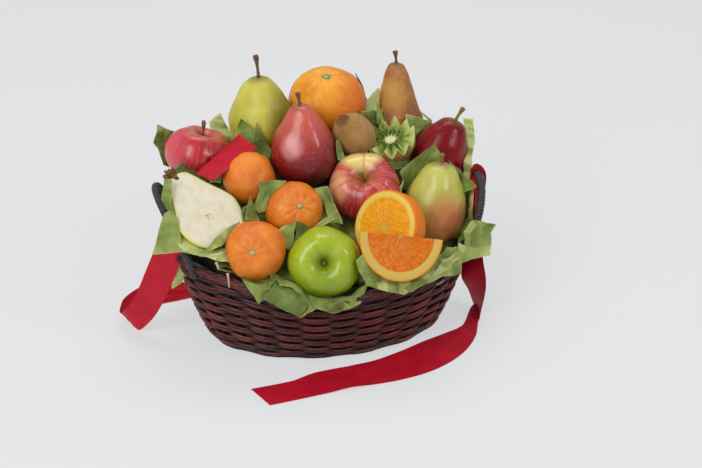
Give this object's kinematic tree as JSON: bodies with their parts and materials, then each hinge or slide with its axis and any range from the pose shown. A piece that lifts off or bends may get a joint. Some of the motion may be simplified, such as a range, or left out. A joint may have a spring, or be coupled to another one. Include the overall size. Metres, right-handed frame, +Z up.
{
  "type": "fruit gift basket",
  "caption": "Oval dark wicker basket with rope handles, packed with green tissue, whole and cut fresh fruit and a wide crimson ribbon that trails at both ends.",
  "frame": {"origin": "centre of the basket's flat underside, on the surface it stands on", "axes": "+X along the long side of the oval, to the right seen from the front; -Y towards the front, where the basket is lower and the half-moon slice hangs over the rim; +Z up"},
  "size_m": [0.4086, 0.3061, 0.2816],
  "materials": {
    "apple_blush_skin": "red striped apple skin over cream, waxy gloss",
    "apple_green_skin": "bright green apple skin, waxy gloss",
    "apple_red_skin": "pink red apple skin, waxy gloss",
    "handle_cane": "dark grey twisted cane, matte",
    "kiwi_cut_flesh": "green kiwi flesh with black seeds and a pale centre",
    "kiwi_whole_skin": "brown kiwi skin with short fuzz",
    "mandarin_peel": "mandarin peel with oil pores, satin",
    "orange_flesh": "cut orange flesh, pale pith, wet sheen",
    "orange_peel": "orange peel with oil pores, satin",
    "pear_blush_skin": "yellow green pear skin with a pink blush, satin",
    "pear_bosc_skin": "golden brown russet pear skin, matte",
    "pear_dark_skin": "dark wine red pear skin, waxy gloss",
    "pear_green_skin": "yellow green pear skin with fine dots, satin",
    "pear_half_flesh": "cream cut pear flesh, thin yellow green skin",
    "pear_red_skin": "crimson pear skin, waxy gloss",
    "ribbon": "crimson cotton ribbon, fine weave, low sheen",
    "straw": "pale beige shred",
    "tissue_paper": "moss green crumpled tissue paper",
    "wicker": "dark mahogany stained willow rods, satin"
  },
  "bodies": {
    "root": {"apple_blush": "apple_blush_skin", "apple_green": "apple_green_skin", "apple_red": "apple_red_skin", "basket_floor": "wicker", "basket_rim": "wicker", "basket_wall": "wicker", "handle_left": "handle_cane", "handle_right": "handle_cane", "kiwi_cut": "kiwi_cut_flesh", "kiwi_whole": "kiwi_whole_skin", "mandarin_front": "mandarin_peel", "mandarin_mid": "mandarin_peel", "mandarin_plain": "mandarin_peel", "orange_half": "orange_flesh", "orange_slice": "orange_flesh", "orange_top": "orange_peel", "pear_blush": "pear_blush_skin", "pear_bosc": "pear_bosc_skin", "pear_dark": "pear_dark_skin", "pear_green": "pear_green_skin", "pear_half": "pear_half_flesh", "pear_red": "pear_red_skin", "ribbon_inner": "ribbon", "ribbon_left": "ribbon", "ribbon_right": "ribbon", "straw_bit": "straw", "straw_strip": "straw", "straw_tuft": "straw", "tissue_apple_back": "tissue_paper", "tissue_apple_gap": "tissue_paper", "tissue_back_corner": "tissue_paper", "tissue_back_left": "tissue_paper", "tissue_back_mid": "tissue_paper", "tissue_back_right": "tissue_paper", "tissue_bed": "tissue_paper", "tissue_blush_side": "tissue_paper", "tissue_bosc_front": "tissue_paper", "tissue_corner_right": "tissue_paper", "tissue_curl": "tissue_paper", "tissue_fold_back": "tissue_paper", "tissue_front_left": "tissue_paper", "tissue_front_mid": "tissue_paper", "tissue_front_right": "tissue_paper", "tissue_left": "tissue_paper", "tissue_left_front": "tissue_paper", "tissue_mandarin_gap": "tissue_paper", "tissue_orange_side": "tissue_paper", "tissue_pale_back": "tissue_paper", "tissue_pear_front": "tissue_paper", "tissue_right": "tissue_paper", "tissue_scrap_left": "tissue_paper", "tissue_under_kiwi": "tissue_paper"}
  },
  "joints": []
}
